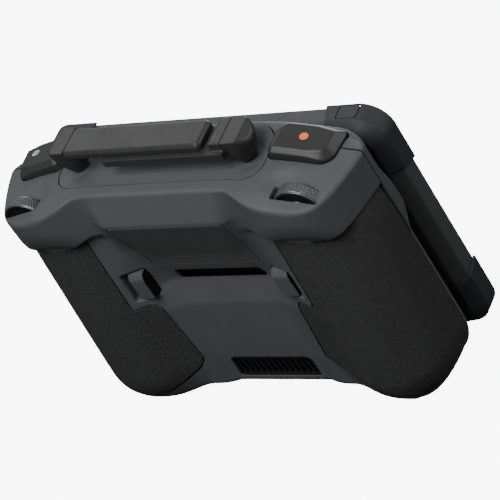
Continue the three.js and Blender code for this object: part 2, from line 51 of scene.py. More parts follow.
INSIDE = 40.0             # openings in the back are cut down to this depth
DIAL_X, DIAL_DEPTH, DIAL_HEIGHT = 73.0, 57.3, 131.9
DIAL_RADIUS, DIAL_TEETH, KNURL, AXLE_BORE = 11.45, 26, 0.17, 1.9
STICK_X, STICK_HEIGHT, STICK_WELL = 66.0, 95.0, 15.5
BUTTON_X, BUTTON_DEPTH, BUTTON_HEIGHT, BUTTON_TILT = 70.5, 32.2, 144.5, 0.2443
BUTTON_TOP = 2.6          # how far a shoulder button stands out of its own plane
KEY_FACE = 58.3
PIVOT_X, PIVOT_DEPTH, HUB_X = 44.6, 39.0, 45.4
HUB_TOP, ANTENNA_TOP = 161.0, 160.95
UPPER_TURRET, LOWER_TURRET = 157.0, 152.9
DISPLAY_TOP = 133.5
SWIVEL_HEIGHT = DISPLAY_TOP / 2


# ---------------------------------------------------------------- fields
def rmax(a, b, r):
    """Intersection of two fields with a round edge."""
    return np.minimum(-r, np.maximum(a, b)) + np.hypot(np.maximum(r + a, 0), np.maximum(r + b, 0))


def rmin(a, b, r):
    """Union of two fields with a filleted corner."""
    return -rmax(-a, -b, r)


def cut(a, b, r=0.0):
    """Field a with b taken out of it."""
    return rmax(a, -b, r) if r else np.maximum(a, -b)


def ramp(t, k):
    """Zero below 0, t above it, rounded over about k."""
    return 0.5 * (t + np.sqrt(t * t + k * k))


def between(v, lo, hi):
    return np.maximum(lo - v, v - hi)


def rect(u, v, u0, u1, v0, v1, r):
    """Rounded rectangle in two coordinates."""
    a = np.abs(u - (u0 + u1) / 2) - (u1 - u0) / 2 + r
    b = np.abs(v - (v0 + v1) / 2) - (v1 - v0) / 2 + r
    return np.hypot(np.maximum(a, 0), np.maximum(b, 0)) + np.minimum(np.maximum(a, b), 0) - r


def disc(u, v, cu, cv, r):
    return np.hypot(u - cu, v - cv) - r


def eased(z, heights, depths):
    """A profile through points, with its corners softened."""
    return sum(np.interp(z + s, heights, depths) for s in (-1.0, -0.4, 0.4, 1.0)) / 4


# ---------------------------------------------------------------- casing fields
def roof(x, d, z):
    """A level top that falls away behind, outwards and where the thumb rests."""
    flat = z - ROOF
    behind = 0.976 * (z - ROOF) + 0.218 * (d - 50)
    shelf = 0.947 * (z - 143) + 0.235 * (x - 64) + 0.218 * (d - 54.9)
    outer = 0.970 * (z - ROOF) + 0.242 * (x - 58)
    thumb = 0.87 * (z - 138.9) + 0.49 * (d - 62.4) + 0.2 * (x - 73)
    return rmax(rmax(flat, behind, 6), rmax(rmax(shelf, outer, 8), thumb, 3), 6)


def ear_floor(x):
    """Height at which a shoulder ends and the grip cover begins."""
    return np.interp(x, [45, 50.4, 57.7, 65.4, 78.8, 90, 95], [121, 118.3, 114.3, 113, 114.6, 116.2, 117])


def shoulder(x, d, z):
    """Five upright faces in a row, rounded into each other, over a slanting underside."""
    plan = -0.654 * (x - 39.5) + 0.756 * (d - 57.6)
    for a, b, u, v, r in ((-0.222, 0.975, 48.4, 65.6, 8), (0.245, 0.970, 68, 70.0, 12),
                          (0.828, 0.561, 83.6, 65.2, 10), (0.987, 0.163, 91.9, 52.6, 9)):
        plan = rmax(plan, a * (x - u) + b * (d - v), r)
    under = 0.879 * (d - 68.3) - 0.476 * (z - 127)
    return rmax(rmax(plan, under, 3.5), ear_floor(x) - z, 0.8)


def grip(x, d, z):
    """A superellipse that grows slimmer towards the top."""
    power = 2.35
    deep = 39 - 0.118 * ramp(z - 24, 12) - 0.2 * ramp(z - 116, 3)
    reach = np.where(x > 70, 25.0, 31.0) - 0.16 * ramp(z - 108, 5)
    u = np.abs(x - 70) / reach
    v = np.abs(d - PARTING) / deep
    s = np.maximum((u ** power + v ** power) ** (1 / power), 0.05)
    steep = np.hypot((u / s) ** (power - 1) / reach, (v / s) ** (power - 1) / deep)
    side = np.maximum(s - 1, -0.9) / np.maximum(steep, 0.012)
    return rmax(side, -z, 30)


def centre(x, d, z):
    """The raised middle of the back, with its sloping hump above."""
    floor = eased(z, [9, 15.2, 28.3, 65, 79.2, 85.4, 91, 100],
                  [54.9, 54.7, 54.5, 52.3, 48.3, 49.1, 50.1, 50.6])
    rise = floor + 0.478 * ramp(x - 25.5, 0.9)
    top = 57.3 - 0.16 * ramp(z - 128, 5)
    plateau = top - ramp(top - rise, 2.0)
    base = rmax(0.93 * (d - plateau), 9 - z, 5)
    base = np.maximum(base, x - 66)
    hump = rmax(0.957 * (d - 57.6) + 0.290 * (z - 145.9),
                0.9465 * (d - 62.9) - 0.3224 * (z - 128.4), 1.0)
    hump = rmax(hump, 0.77 * (x - 39.5) + 0.636 * (d - 57.6) - 0.049 * (z - 145.9), 4)
    return rmin(base, hump, 3)


def back_body(x, d, z):
    x = np.abs(x)
    whole = rmin(centre(x, d, z), grip(x, d, z), 9)
    whole = rmin(whole, shoulder(x, d, z), np.interp(x, [46, 56, 76, 86], [6, 2.5, 2.5, 0.6]))
    return rmax(whole, roof(x, d, z), np.interp(x, [42, 58], [1.6, 2.2]))


def front_body(x, d, z):
    """Two ends joined behind the display, with a swelling along each flank."""
    x = np.abs(x)
    ends = rmax(rmax(x - 95.4, -z, 30), 41 - x, 8)
    middle = np.maximum(9 - z, x - 60)
    face = rmax(rmin(ends, middle, 9), 19.5 - d, 4)
    corner = 0.68 * (x - 95) + 0.73 * (z - 133) - np.clip(6 - 0.9 * (PARTING - d), 0, 6)
    upper = rmax(roof(x, PARTING + 0.7 * (PARTING - d), z) - 0.1, corner, 4)
    swell = eased(z, [84, 90, 97, 108, 116, 122, 140], [1.2, 3.4, 5.5, 5.2, 3.6, 3.1, 3.4])
    flank = 0.695 * (x - 95) + 0.719 * (PARTING - d) - swell
    return rmax(rmax(face, flank, 5), upper, 2.2)


# ---------------------------------------------------------------- recesses
def tray_plan(x, d, grow):
    return rect(x, d, -55.2 - grow, 55.2 + grow, 23 - grow, 52.4 + grow, 10)


def tray_seat(x, d, z, grow=0.4, floor=143.2):
    """Opening in the roof for the antenna tray."""
    return np.maximum(tray_plan(x, d, grow), floor - z)


def button_frame(x, d, z):
    """Coordinates in the plane of one shoulder button: across, deep, out of it."""
    c, s = math.cos(BUTTON_TILT), math.sin(BUTTON_TILT)
    across, height = x - BUTTON_X, z - BUTTON_HEIGHT
    return across * c - height * s, d - BUTTON_DEPTH, across * s + height * c


def button_plan(u, v):
    """Large corners at the front inside and the back outside, small ones between them."""
    return rmax(rmax(-v - 9.4, -u - 14.2, 6.5), rmax(v - 8.9, 0.995 * (u - 15.8) + 0.1 * v, 6), 2.6)


def button_slot(x, d, z):
    u, v, w = button_frame(x, d, z)
    return np.maximum(button_plan(u, v) - 0.6, -7 - w)


def door_plan(x, z):
    sides = 0.9962 * (x - 32.0) - 0.087 * (z - 128.4)
    return rmax(rmax(sides, z - 128.4, 4.5), 91.4 - z, 3)


def cover_zone(x, d, z):
    """Where the grip covers lie: between a seam near the bottom and the shoulder's lower edge."""
    upper = np.maximum(50.3 - x, 60 - z)
    lower = rmax(0.996 * (34.3 + 0.0895 * (z - 30) - x), z - 70.5, 5)
    drop = np.interp(x, [36, 42, 48, 54, 60, 66, 80, 91, 95],
                     [19.3, 15.5, 11.7, 8.5, 5.6, 4.5, 5, 8.5, 9.5])
    seam = drop + 0.33 * (d - 34) - z
    top = z - ear_floor(x) + 0.15
    return rmax(rmax(rmin(upper, lower, 4), seam, 7), top, 1.0)


def key_recess(x, z, grow):
    return rect(x, z, 34.3 - grow, 46.2 + grow, 74.8 - grow, 92.2 + grow, 1.6)


def key_plan(x, z, grow):
    return rect(x, z, 35.1 - grow, 43.4 + grow, 75.3 - grow, 91.4 + grow, 1.2)


def intake(x, d, z):
    """Slot whose lower wall falls away inwards."""
    height = np.maximum(0.6 * (79.6 + 1.4 * np.minimum(d - 48.6, 0) - z), z - 85.4)
    return rmax(rmax(x - 24, height, 0.8), 0.9 * (x - 24) + 0.45 * (z - 83.6), 0.8)


def exhaust(x, z, grow):
    return rmax(rect(x, z, -22.2 - grow, 22.2 + grow, 15.2 - grow, 28.3 + grow, 1.5),
                0.6 * (x - 21.0) + 0.8 * (z - 28.3) - grow, 2)


def dial_dish(x, d, z):
    """Hollow for the thumb around a dial."""
    reach = ((x - 73) / 18) ** 2 + ((d - 54.5) / 12.5) ** 2 + ((z - 147.7) / 8.4) ** 2
    return (np.sqrt(reach) - 1) * 8.4


def rear_casing(x, d, z):
    x = np.abs(x)
    skin = back_body(x, d, z)
    zone = cover_zone(x, d, z)
    hollow = skin + WALL + COVER * np.clip(0.5 - zone / 2, 0, 1)
    hollow = np.maximum(hollow, -np.maximum(key_recess(x, z, 2), 50.6 - d))
    hollow = np.maximum(hollow, 2.2 - dial_dish(x, d, z))
    hollow = np.maximum(hollow, -tray_seat(x, d, z, grow=2.2, floor=141.2))
    shell = np.maximum(rmax(skin, PARTING + PARTING_GAP - d, 0.1), -hollow)
    shell = cut(shell, np.maximum(zone - 0.75, -(skin + COVER + GAP)), 0.15)
    shell = cut(shell, dial_dish(x, d, z), 1.0)
    shell = cut(shell, np.maximum(rect(x, d, 62.8, 83.2, 53.7, 60.7, 0.8), 120 - z), 0.4)
    shell = cut(shell, tray_seat(x, d, z), 0.2)
    shell = cut(shell, button_slot(x, d, z), 0.2)
    shell = cut(shell, np.maximum(key_recess(x, z, 0), 52.6 - d), 0.8)
    shell = cut(shell, np.maximum(key_plan(x, z, GAP), INSIDE - d))
    shell = cut(shell, np.maximum(intake(x, d, z), INSIDE - d), 0.4)
    shell = cut(shell, np.maximum(exhaust(x, z, GAP), INSIDE - d), 0.5)
    return cut(shell, np.maximum(door_plan(x, z) - 0.2, INSIDE - d))


def grip_cover(x, d, z):
    skin = back_body(x, d, z)
    sheet = rmax(rmax(skin, cover_zone(x, d, z), 0.45), PARTING + PARTING_GAP - d, 0.45)
    return np.maximum(sheet, -(skin + COVER))


def service_door(x, d, z):
    x = np.abs(x)
    skin = back_body(x, d, z)
    return np.maximum(rmax(skin, door_plan(x, z) + 0.2, 0.5), -(skin + 1.8))


def front_casing(x, d, z):
    x = np.abs(x)
    skin = front_body(x, d, z)
    hinge_room = rect(x, z, -34.6, 34.6, 131.4, 141.2, 0.5)
    pocket = np.maximum(hinge_room, d - 25.4)
    hollow = np.maximum(skin + WALL, -(pocket - 2))
    hollow = np.maximum(hollow, -tray_seat(x, d, z, grow=2.2, floor=141.2))
    shell = np.maximum(rmax(skin, d - PARTING + PARTING_GAP, 0.1), -hollow)
    shell = cut(shell, tray_seat(x, d, z), 0.2)
    shell = cut(shell, pocket)
    shell = cut(shell, button_slot(x, d, z), 0.2)
    well = disc(x, z, STICK_X, STICK_HEIGHT, STICK_WELL)
    return cut(shell, np.maximum(well, d - 30), 1.2)


def antenna_tray(x, d, z):
    x = np.abs(x)
    trough = 1.5 * np.clip(1 - (np.abs(d - 38) / 13.5) ** 3, 0, 1) * np.clip((55 - x) / 8, 0, 1)
    dish = 2.4 * eased(np.hypot(x - PIVOT_X, d - PIVOT_DEPTH), [5.5, 6.5, 10.4], [1, 1, 0])
    top = roof(x, d, z) + rmax(trough, dish, 0.5)
    plate = rmax(rmax(tray_plan(x, d, 0), top, 0.25), 143.6 - z, 0.3)
    return cut(plate, disc(x, d, PIVOT_X, PIVOT_DEPTH, 2.9))


def joint_shade_strip(x, d, z):
    """Dark strip just below the surface between the two casing halves: painted shade along the joint."""
    x = np.abs(x)
    middle = np.full_like(d, PARTING)
    skin = np.maximum(back_body(x, middle, z), front_body(x, middle, z))
    strip = np.maximum(between(skin, -2.0, -0.15), between(d, PARTING - 0.6, PARTING + 0.6))
    strip = cut(strip, tray_seat(x, d, z))
    u, v, _ = button_frame(x, d, z)
    return cut(strip, button_plan(u, v) - 0.9)


def button_ring_shade(x, d, z):
    """Dark ring around a shoulder button, a little under the casing surface: painted shade in the gap
    around the button.
    """
    u, v, w = button_frame(x, d, z)
    edge = button_plan(u, v)
    skin = np.where(d > PARTING, back_body(x, d, z), front_body(x, d, z))
    return np.maximum(np.maximum(between(edge, 0.14, 0.9), skin + 0.15), -2.2 - w)


def stick_bezel(x, d, z):
    """Funnel around a thumb stick, set into the round well of the front casing."""
    reach = np.hypot(x - STICK_X, z - STICK_HEIGHT)
    funnel = 12.7 + 0.5 * np.clip(22.2 - d, 0, 2) - reach
    return rmax(rmax(reach - (STICK_WELL - 0.2), between(d, 20.3, 22.2), 0.3), funnel, 0.2)


# ---------------------------------------------------------------- surfaces from fields
def unit_slopes(field, p, step=0.04):
    slopes = []
    for axis in range(3):
        shift = np.zeros(3)
        shift[axis] = step
        q, r = p + shift, p - shift
        slopes.append(field(q[:, 0], q[:, 1], q[:, 2]) - field(r[:, 0], r[:, 1], r[:, 2]))
    slopes = np.stack(slopes, 1)
    return slopes / np.maximum(np.linalg.norm(slopes, axis=1, keepdims=True), 1e-9)


def crossings(field, axes, values, axis, cell):
    """Where the grid lines along one axis cross the surface, with the slope at each crossing,
    the four cells around it and whether the line leaves the solid there."""
    cells = [len(a) - 1 for a in axes]
    first = [slice(None)] * 3
    last = [slice(None)] * 3
    first[axis], last[axis] = slice(0, -1), slice(1, None)
    v0, v1 = values[tuple(first)], values[tuple(last)]
    index = np.argwhere((v0 < 0) != (v1 < 0))
    keep = np.ones(len(index), bool)
    for other in range(3):
        if other != axis:
            keep &= (index[:, other] > 0) & (index[:, other] < cells[other])
    index = index[keep]
    f0, f1 = v0[tuple(index.T)], v1[tuple(index.T)]
    start = np.stack([axes[a][index[:, a]] for a in range(3)], 1)
    t0, t1 = np.zeros(len(index)), np.ones(len(index))
    a0, a1 = f0.astype(float), f1.astype(float)
    for _ in range(4):
        t = np.clip((t0 * a1 - t1 * a0) / (a1 - a0), t0 + 0.02 * (t1 - t0), t1 - 0.02 * (t1 - t0))
        p = start.copy()
        p[:, axis] += t * cell
        fp = field(p[:, 0], p[:, 1], p[:, 2])
        same = (fp < 0) == (a0 < 0)
        t0, a0 = np.where(same, t, t0), np.where(same, fp, a0)
        t1, a1 = np.where(same, t1, t), np.where(same, a1, fp)
    b, c = (axis + 1) % 3, (axis + 2) % 3
    ring = []
    for db, dc in ((-1, -1), (0, -1), (0, 0), (-1, 0)):
        at = index.copy()
        at[:, b] += db
        at[:, c] += dc
        ring.append((at[:, 0] * cells[1] + at[:, 1]) * cells[2] + at[:, 2])
    return p, unit_slopes(field, p), np.stack(ring, 1), f0 < 0


def surface(field, lo, hi, cell, symmetric=False):
    """Dual contouring: one vertex per crossed cell, placed where the crossing planes meet."""
    axes = []
    for axis in range(3):
        if axis == 0 and symmetric:
            half = cell * (np.arange(math.ceil(hi[0] / cell)) + 0.5)
            axes.append(np.concatenate([-half[::-1], half]))
        else:
            axes.append(lo[axis] + cell * np.arange(math.ceil((hi[axis] - lo[axis]) / cell) + 1))
    xs = half if symmetric else axes[0]
    shape = (len(xs), len(axes[1]), len(axes[2]))
    values = field(xs[:, None, None], axes[1][None, :, None], axes[2][None, None, :])
    values = np.broadcast_to(values, shape)
    if symmetric:
        values = np.concatenate([values[::-1], values])
    found = [crossings(field, axes, values, axis, cell) for axis in range(3)]
    points, normals, corners, outward = (np.concatenate(part) for part in zip(*found))
    ids, where = np.unique(corners.ravel(), return_inverse=True)
    where = where.ravel()
    count = np.bincount(where).astype(float)

    def summed(v):
        return np.bincount(where, np.repeat(v, 4), len(ids))

    mass = np.stack([summed(points[:, a]) for a in range(3)], 1) / count[:, None]
    plane = np.einsum("ij,ij->i", normals, points)
    ata = np.zeros((len(ids), 3, 3))
    for a in range(3):
        for b in range(a, 3):
            ata[:, a, b] = ata[:, b, a] = summed(normals[:, a] * normals[:, b])
    atb = np.stack([summed(normals[:, a] * plane) for a in range(3)], 1)
    atb = atb - np.einsum("ijk,ik->ij", ata, mass)
    moved = np.linalg.solve(ata + 0.06 * np.eye(3), atb[:, :, None])[:, :, 0]
    base = np.stack(np.unravel_index(ids, [len(a) - 1 for a in axes]), 1)
    low = np.stack([axes[a][base[:, a]] for a in range(3)], 1)
    vertices = np.clip(mass + moved, low, low + cell)
    faces = where.reshape(-1, 4)
    faces[~outward] = faces[~outward][:, ::-1]
    return without_crumbs(vertices, faces)


def without_crumbs(vertices, faces, smallest=60):
    """Leave out any loose island of only a few vertices."""
    label = np.arange(len(vertices))
    while True:
        low = label[faces].min(1)
        new = label.copy()
        np.minimum.at(new, faces.ravel(), np.repeat(low, 4))
        new = new[new]
        if (new == label).all():
            break
        label = new
    big = np.bincount(label, minlength=len(label)) >= smallest
    faces = faces[big[label[faces[:, 0]]]]
    used, renumbered = np.unique(faces.ravel(), return_inverse=True)
    return vertices[used], renumbered.reshape(-1, 4)


def mirrored(vertices, faces):
    return vertices * [-1, 1, 1], faces[:, ::-1]


def make(name, shape, material, body, nodes=(), sides=None, axis=0):
    """A Blender mesh from millimetre vertices on its CAD body; sides is a second material given to the
    faces across axis, used as painted shade on them.
    """
    vertices, faces = shape
    mesh = bpy.data.meshes.new(name)
    places = (vertices - [0, DEPTH_ORIGIN, 0]) * MM
    mesh.vertices.add(len(places))
    mesh.vertices.foreach_set("co", places.astype(np.float32).ravel())
    mesh.loops.add(faces.size)
    mesh.loops.foreach_set("vertex_index", faces.ravel().astype(np.int32))
    mesh.polygons.add(len(faces))
    mesh.polygons.foreach_set("loop_start", np.arange(0, faces.size, faces.shape[1], dtype=np.int32))
    mesh.update(calc_edges=True)
    mesh.validate()
    mesh.polygons.foreach_set("use_smooth", np.ones(len(mesh.polygons), bool))
    mesh.set_sharp_from_angle(angle=SHARP_ANGLE)
    mesh.materials.append(material)
    # faces across axis get the sides material: painted shade
    if sides:
        mesh.materials.append(sides)
        facing = np.empty(len(mesh.polygons) * 3, np.float32)
        mesh.polygons.foreach_get("normal", facing)
        flank = np.abs(facing.reshape(-1, 3)[:, axis]) > 0.8
        mesh.polygons.foreach_set("material_index", flank.astype(np.int32))
    piece = bpy.data.objects.new(name, mesh)
    bpy.context.scene.collection.objects.link(piece)
    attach(piece, body)
    if nodes:
        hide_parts(*nodes)


# ---------------------------------------------------------------- materials
class Nodes:
    """A short way to write a material's node tree."""

    def __init__(self, name, **sockets):
        self.material = bpy.data.materials.new(name)
        self.material.use_nodes = True
        self.tree = self.material.node_tree
        self.shader = self.tree.nodes["Principled BSDF"]
        for key, value in sockets.items():
            self.shader.inputs[key.replace("_", " ")].default_value = value
        self.place = self.add("ShaderNodeTexCoord").outputs["Object"]

    def add(self, kind, links=(), **settings):
        node = self.tree.nodes.new(kind)
        for key, value in settings.items():
            setattr(node, key, value)
        for socket, value in dict(links).items():
            if isinstance(value, bpy.types.NodeSocket):
                self.tree.links.new(value, node.inputs[socket])
            else:
                node.inputs[socket].default_value = value
        return node

    def noise(self, scale, detail=3.0, roughness=0.55):
        node = self.add("ShaderNodeTexNoise", {"Vector": self.place, "Scale": scale, "Detail": detail,
                                               "Roughness": roughness})
        return node.outputs["Fac"]

    def cell_edges(self, scale):
        """Distance from the edges between irregular cells."""
        node = self.add("ShaderNodeTexVoronoi", {"Vector": self.place, "Scale": scale},
                        feature="DISTANCE_TO_EDGE")
        return node.outputs["Distance"]

    def mapped(self, value, lo, hi, to_lo, to_hi):
        node = self.add("ShaderNodeMapRange", {"Value": value, "From Min": lo, "From Max": hi,
                                               "To Min": to_lo, "To Max": to_hi})
        return node.outputs["Result"]

    def blend(self, fac, low, high):
        ramp_node = self.add("ShaderNodeValToRGB", {"Fac": fac})
        for stop, colour in zip(ramp_node.color_ramp.elements, (low, high)):
            stop.color = (*colour, 1)
        return ramp_node.outputs["Color"]

    def bump(self, height, strength, distance, after=None):
        links = {"Height": height, "Strength": strength, "Distance": distance}
        if after:
            links["Normal"] = after
        return self.add("ShaderNodeBump", links).outputs["Normal"]

    def set(self, socket, value):
        self.tree.links.new(value, self.shader.inputs[socket])


def grey(value, tint=0.04):
    return (value * (1 - tint / 2), value, value * (1 + tint))


def moulded(name, tone, rough, grain=0.35, tint=0.04):
    """Injection-moulded plastic: spark-eroded grain, faint cloudiness and handling polish."""
    n = Nodes(name, IOR=1.36)
    cloud = n.noise(38, 4)
    n.set("Base Color", n.blend(n.mapped(cloud, 0.3, 0.7, 0, 1), grey(tone * 0.93, tint),
                                grey(tone * 1.07, tint)))
    n.set("Roughness", n.mapped(n.noise(90, 3), 0.3, 0.7, rough - 0.05, rough + 0.05))
    n.set("Normal", n.bump(n.noise(2600, 2), grain, 0.00006))
    return n.material


def leather_rubber():
    """Soft rubber with a fine leather grain: creased cells over a finer noise."""
    n = Nodes("grip_rubber", IOR=1.34)
    creases = n.mapped(n.cell_edges(860), 0.0, 0.16, 0, 1)
    # the cells are painted darker towards their edges: painted shade in the creases of the grain
    n.set("Base Color", n.blend(creases, grey(0.024, 0.03), grey(0.036, 0.03)))
    n.set("Roughness", n.mapped(n.noise(240, 3), 0.3, 0.7, 0.55, 0.7))
    coarse = n.bump(creases, 1.0, 0.0003)
    n.set("Normal", n.bump(n.noise(3200, 2), 0.3, 0.00005, coarse))
    return n.material


def turned_metal(name, tone, rough, metallic=1.0):
    """Machined metal, with fine variation in tone, gloss and surface."""
    n = Nodes(name, Metallic=metallic)
    n.set("Base Color", n.blend(n.noise(220, 3), grey(tone * 0.88), grey(tone * 1.1)))
    n.set("Roughness", n.mapped(n.noise(600, 3), 0.3, 0.7, rough - 0.08, rough + 0.08))
    n.set("Normal", n.bump(n.noise(1900, 2), 0.25, 0.00004))
    return n.material


def polished_glass():
    """Display glass: nearly black, with faint smears in its gloss."""
    n = Nodes("display_glass", IOR=1.5, Coat_Weight=0.6, Coat_Roughness=0.03)
    n.set("Base Color", n.blend(n.noise(30, 2), (0.002, 0.002, 0.003), (0.005, 0.005, 0.006)))
    n.set("Roughness", n.mapped(n.noise(55, 4), 0.35, 0.7, 0.05, 0.13))
    return n.material


def circuit_board():
    """Green solder mask with copper tracks showing faintly through it."""
    n = Nodes("solder_mask", IOR=1.5)
    tracks = n.cell_edges(420)
    n.set("Base Color", n.blend(n.mapped(tracks, 0.02, 0.06, 0, 1), (0.02, 0.1, 0.05),
                                (0.006, 0.045, 0.02)))
    n.set("Roughness", n.mapped(n.noise(300, 2), 0.3, 0.7, 0.3, 0.5))
    n.set("Normal", n.bump(tracks, 0.3, 0.00005))
    return n.material


def battery_wrap():
    """Shrink film around the cells, slightly wrinkled."""
    n = Nodes("battery_wrap", IOR=1.48)
    n.set("Base Color", n.blend(n.noise(60, 4), (0.02, 0.03, 0.06), (0.035, 0.05, 0.09)))
    n.set("Roughness", n.mapped(n.noise(40, 3), 0.3, 0.7, 0.25, 0.45))
    n.set("Normal", n.bump(n.noise(120, 4), 0.4, 0.0002))
    return n.material


def paint_spot(name, low, high):
    """Printed ink between two close colours."""
    n = Nodes(name, IOR=1.5)
    n.set("Base Color", n.blend(n.noise(500, 2), low, high))
    n.set("Roughness", n.mapped(n.noise(700, 2), 0.3, 0.7, 0.35, 0.5))
    return n.material


shell_plastic = moulded("shell_plastic", 0.062, 0.62)
deck_plastic = moulded("deck_plastic", 0.050, 0.6)
bumper_rubber = moulded("bumper_rubber", 0.026, 0.62, 0.5, 0.1)
button_plastic = moulded("button_plastic", 0.023, 0.46, 0.25, 0.02)
antenna_plastic = moulded("antenna_plastic", 0.024, 0.42, 0.25, 0.02)
# dark plastic of the grilles and inner parts; also painted shade on the joint strip, the button rings and
# the flanks of keys and dials
dark_plastic = moulded("dark_plastic", 0.0045, 0.6)
grip_rubber = leather_rubber()
dial_metal = turned_metal("dial_metal", 0.095, 0.36, 0.6)
steel = turned_metal("steel", 0.45, 0.3)
aluminium = turned_metal("aluminium", 0.5, 0.42)
black_anodised = turned_metal("black_anodised", 0.012, 0.5, 0.3)
display_glass = polished_glass()
board_green = circuit_board()
battery_blue = battery_wrap()
orange_paint = paint_spot("orange_paint", (0.75, 0.12, 0.035), (0.85, 0.16, 0.05))
white_paint = paint_spot("white_paint", (0.6, 0.6, 0.6), (0.7, 0.7, 0.7))

# ---------------------------------------------------------------- casing
make("rear_casing", surface(rear_casing, (-96, 28, -3), (96, 74, 151), 0.72, symmetric=True),
     shell_plastic, "casing", ["rear_shell"])
make("front_casing", surface(front_casing, (-97, 15, -3), (97, 34, 151), 0.85, symmetric=True),
     shell_plastic, "casing", ["front_shell"])
make("door_panel", surface(service_door, (-36, 44, 88), (36, 68, 132), 0.7, symmetric=True),
     shell_plastic, "casing", ["service_door"])
make("antenna_deck", surface(antenna_tray, (-56, 20, 141), (56, 55, 150), 0.6, symmetric=True),
     shell_plastic, "casing", ["antenna_tray"])
cover = surface(grip_cover, (30, 28, -3), (98, 75, 126), 0.75)
make("grip_skin_right", cover, grip_rubber, "casing", ["grip_cover_right"])
make("grip_skin_left", mirrored(*cover), grip_rubber, "casing", ["grip_cover_left"])
# dark strip under the joint between the casing halves: painted shade
make("joint_shade_strip", surface(joint_shade_strip, (-96, 30.8, -1), (96, 33.2, 150), 0.36, symmetric=True),
     dark_plastic, "casing")
# dark rings in the gaps around the shoulder buttons: painted shade
shape = surface(button_ring_shade, (53, 20, 132), (90, 44, 150), 0.3)
make("record_button_seal", mirrored(*shape), dark_plastic, "casing")
make("photo_button_seal", shape, dark_plastic, "casing")
shape = surface(stick_bezel, (50, 19.6, 79), (82, 22.8, 111), 0.4)
make("stick_bezel_right", shape, button_plastic, "casing")
make("stick_bezel_left", mirrored(*shape), button_plastic, "casing")


# ---------------------------------------------------------------- shoulder buttons, keys and dials
def button_crown(u, v, w):
    return w - BUTTON_TOP + 0.0008 * (u * u + v * v)


def shoulder_button(x, d, z):
    u, v, w = button_frame(x, d, z)
    plan = button_plan(u, v)
    top = button_crown(u, v, w)
    bevel = 0.66 * (plan + 2.3 + 1.5 * np.clip((u - 4) / 9, 0, 1)) + 0.75 * top
    body = rmax(rmax(plan, top, 0.3), bevel, 0.35)
    return np.maximum(body, -4.4 - w)


def emblem(x, d, z, plan):
    """A thin printed shape lying on a shoulder button."""
    u, v, w = button_frame(x, d, z)
    return rmax(plan(u, v), np.abs(button_crown(u, v, w)) - 0.12, 0.04)


def record_dot(u, v):
    return np.hypot(u - 0.3, v + 0.6) - 2.0


def photo_sign(u, v):
    """A small camera: a rounded outline around a dot."""
    outline = np.abs(rect(u, v, 2.6, 6.0, -3.0, -0.7, 0.6)) - 0.26
    return np.minimum(outline, np.hypot(u - 4.3, v + 1.85) - 0.45)


shape = surface(shoulder_button, (52, 20, 133), (92, 44, 156), 0.36)
make("photo_button_cap", shape, button_plastic, "photo_key", ["photo_button"])
make("record_button_cap", mirrored(*shape), button_plastic, "record_key", ["record_button"])
shape = surface(lambda x, d, z: emblem(x, d, z, record_dot), (66, 27, 143), (76, 36, 151), 0.12)
make("record_dot", mirrored(*shape), orange_paint, "record_key")
shape = surface(lambda x, d, z: emblem(x, d, z, photo_sign), (70, 26, 142), (80, 34, 150), 0.12)
make("photo_sign", shape, white_paint, "photo_key")


def back_key(x, d, z):
    slant = 0.87 * (d - KEY_FACE) + 0.49 * (z - 88.2)
    face = rmax(rmax(key_plan(x, z, 0), d - KEY_FACE, 0.5), slant, 0.4)
    return np.maximum(face, 49 - d)


# the faces of each back key that face across x are painted dark: painted shade on the key's flanks
shape = surface(back_key, (34, 47, 73), (46, 60, 94), 0.4)
make("back_key_right", shape, shell_plastic, "back_key_right", ["back_button_right"],
     sides=dark_plastic)
make("back_key_left", mirrored(*shape), shell_plastic, "back_key_left", ["back_button_left"],
     sides=dark_plastic)


def dial_wheel(x, d, z):
    """Knurled wheel with a shallow groove in each face and a bore for its axle."""
    angle = np.arctan2(x - DIAL_X, z - DIAL_HEIGHT)
    along = (d - DIAL_DEPTH) / 1.6
    radius = np.hypot(x - DIAL_X, z - DIAL_HEIGHT)
    turned, slant = angle * DIAL_TEETH, along * 1.9
    crossed = np.abs(np.sin(turned + slant)) + np.abs(np.sin(turned - slant))
    knurl = KNURL * crossed * np.clip((1.5 - np.abs(along)) / 0.2, 0, 1)
    rim = radius - DIAL_RADIUS - knurl
    wheel = rmax(rim, np.abs(along) - 1.9, 0.3)
    groove = np.hypot(np.maximum(np.abs(radius - 7.5) - 2.0, 0), np.abs(along) - 1.9) - 0.5
    return cut(cut(wheel, groove), radius - AXLE_BORE)


# the wheel's flat faces, across depth, are painted dark: painted shade in the slot around the wheel
shape = surface(dial_wheel, (60, 53.4, 119), (86, 61.2, 145), 0.26)
make("dial_wheel_right", shape, dial_metal, "dial_wheel_right", ["dial_right"],
     sides=dark_plastic, axis=1)
make("dial_wheel_left", mirrored(*shape), dial_metal, "dial_wheel_left", ["dial_left"],
     sides=dark_plastic, axis=1)


# ---------------------------------------------------------------- grilles
def repeated(v, pitch):
    """Distance from the nearest of many evenly spaced lines."""
    return (v + pitch / 2) % pitch - pitch / 2


def exhaust_grille(x, d, z):
    """Leaning ribs in a rim, a crossbar and a square mesh behind them."""
    frame_edge = exhaust(np.abs(x), z, 0)
    lean = x - 0.10 * (z - 15)
    rib = np.abs(repeated(lean, 3.2)) - 0.65
    ribs = np.maximum(np.maximum(rib, frame_edge), between(d, 50.6, 53.4))
    rim = np.maximum(np.maximum(frame_edge, -(frame_edge + 0.9)), between(d, 50.6, 54.0))
    mesh_wall = np.maximum(frame_edge, between(d, 49.4, 50.2))
    holes = rect(repeated(x, 1.6), repeated(z, 1.6), -0.5, 0.5, -0.5, 0.5, 0.1)
    mesh_wall = np.maximum(mesh_wall, -holes)
    bar = np.maximum(np.maximum(between(z, 25.6, 26.5), frame_edge), between(d, 50.0, 53.0))
    return np.minimum(np.minimum(ribs, rim), np.minimum(mesh_wall, bar))


make("exhaust_ribs", surface(exhaust_grille, (-24, 48.6, 13), (24, 55, 30), 0.3),
     dark_plastic, "casing", ["exhaust_grille"])


